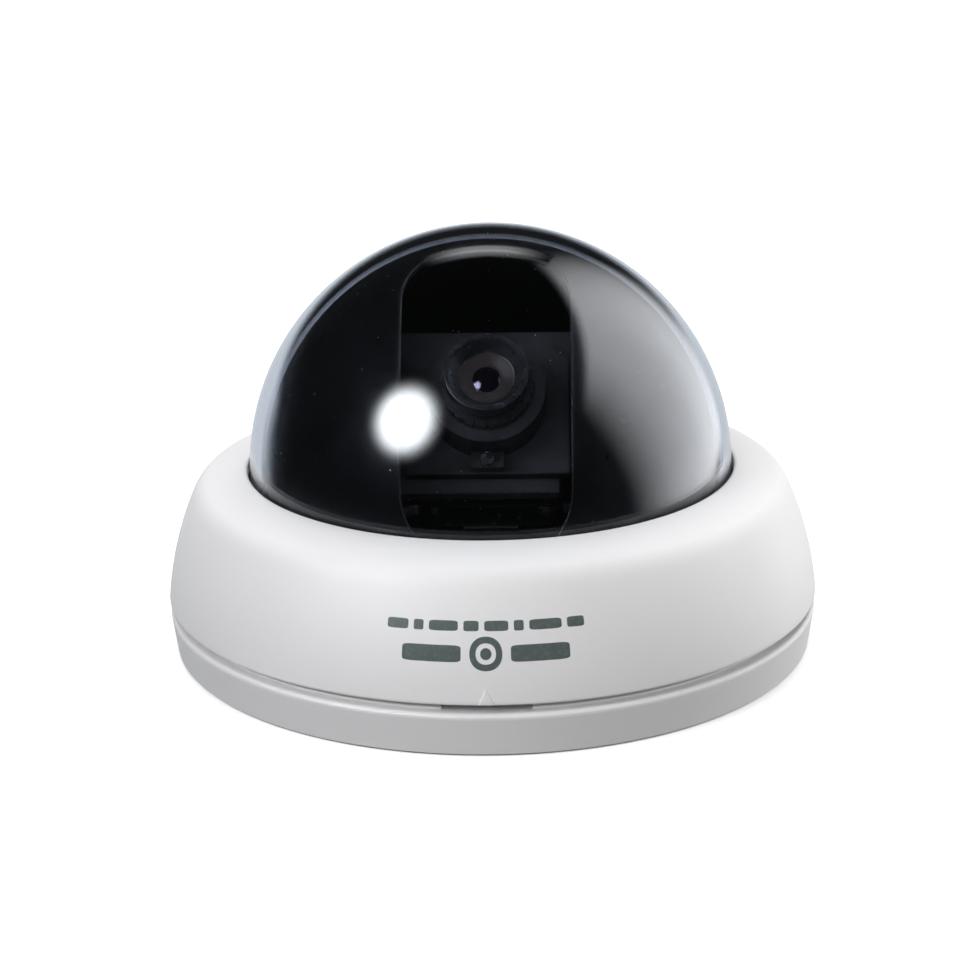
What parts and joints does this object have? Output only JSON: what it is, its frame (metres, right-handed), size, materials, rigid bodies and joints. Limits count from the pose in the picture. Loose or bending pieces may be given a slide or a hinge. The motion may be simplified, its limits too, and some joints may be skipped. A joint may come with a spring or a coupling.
{
  "type": "dome cctv camera",
  "caption": "Round white ceiling dome camera: clear dome over a black slotted liner and a pan, tilt and roll lens module, with a lift-off cover.",
  "frame": {"origin": "centre of the base's mounting face", "axes": "+Z away from the mounting face through the dome's top; -Y to the front, where the release window and arrow are and where the lens looks at rest; +X to the right seen from the front"},
  "size_m": [0.1185, 0.1185, 0.0758],
  "materials": {
    "case_white": "glossy moulded ABS",
    "dome_clear": "clear polished polycarbonate, very lightly smoked",
    "liner_black": "fine satin black",
    "bracket_black": "matt moulded black",
    "knob_black": "matt moulded black",
    "lens_metal": "black anodised, satin",
    "bezel_brown": "satin brown",
    "coated_glass": "polished, purple coating",
    "screw_steel": "zinc plated",
    "board_green": "solder mask",
    "board_brown": "paper-phenolic",
    "chip_black": "moulded epoxy",
    "sensor_ceramic": "ceramic package",
    "connector_ivory": "satin nylon",
    "terminal_green": "satin nylon",
    "terminal_plate": "nickel plated",
    "jack_metal": "plated",
    "capacitor_sleeve": "shrink sleeve",
    "spacer_brass": "turned"
  },
  "bodies": {
    "base": {"base_case": "case_white", "power_board": "board_brown", "power_board_screws": "screw_steel", "terminal_block": "terminal_green", "terminal_screws": "terminal_plate", "service_jack": "jack_metal", "filter_capacitor": "capacitor_sleeve", "pan_track": "bracket_black", "pan_track_screws": "screw_steel", "pan_clips": "bracket_black", "pan_clip_screws": "screw_steel"},
    "pan": {"turntable": "bracket_black", "yoke_left": "bracket_black", "yoke_right": "bracket_black", "yoke_screws": "screw_steel", "inner_liner": "liner_black", "liner_screws": "screw_steel"},
    "tilt": {"tilt_cradle": "bracket_black", "tilt_knob_left": "knob_black", "tilt_knob_right": "knob_black"},
    "roll": {"module_plate": "bracket_black", "module_frame": "bracket_black", "frame_screws": "screw_steel", "lens_holder": "bracket_black", "holder_screws": "screw_steel", "sensor_board": "board_green", "image_sensor": "sensor_ceramic", "signal_board": "board_green", "signal_chip": "chip_black", "board_spacers": "spacer_brass", "board_screws": "screw_steel", "board_connector": "connector_ivory"},
    "focus": {"focus_ring": "lens_metal", "lens_barrel": "lens_metal", "lens_hood": "lens_metal", "lens_bezel": "bezel_brown", "front_glass": "coated_glass", "rear_glass": "coated_glass"},
    "cover": {"cover": "case_white", "dome": "dome_clear", "dome_retainer": "knob_black", "dome_screws": "screw_steel"}
  },
  "joints": [
    {"name": "pan_turn", "type": "hinge", "parent": "base", "child": "pan", "pos_m": [0, 0, 0.0086], "axis": [0, 0, 1], "range_deg": [-175, 175]},
    {"name": "tilt_swing", "type": "hinge", "parent": "pan", "child": "tilt", "pos_m": [0, 0, 0.034], "axis": [-1, 0, 0], "range_deg": [-40, 45]},
    {"name": "roll_turn", "type": "hinge", "parent": "tilt", "child": "roll", "pos_m": [0, 0, 0.034], "axis": [0, -0.7431, 0.6691], "range_deg": [-175, 175]},
    {"name": "focus_turn", "type": "hinge", "parent": "roll", "child": "focus", "pos_m": [0, 0, 0.034], "axis": [0, -0.7431, 0.6691], "range_deg": [-180, 180]},
    {"name": "cover_lift", "type": "slide", "parent": "base", "child": "cover", "axis": [0, 0, 1], "range_m": [0, 0.08]}
  ]
}
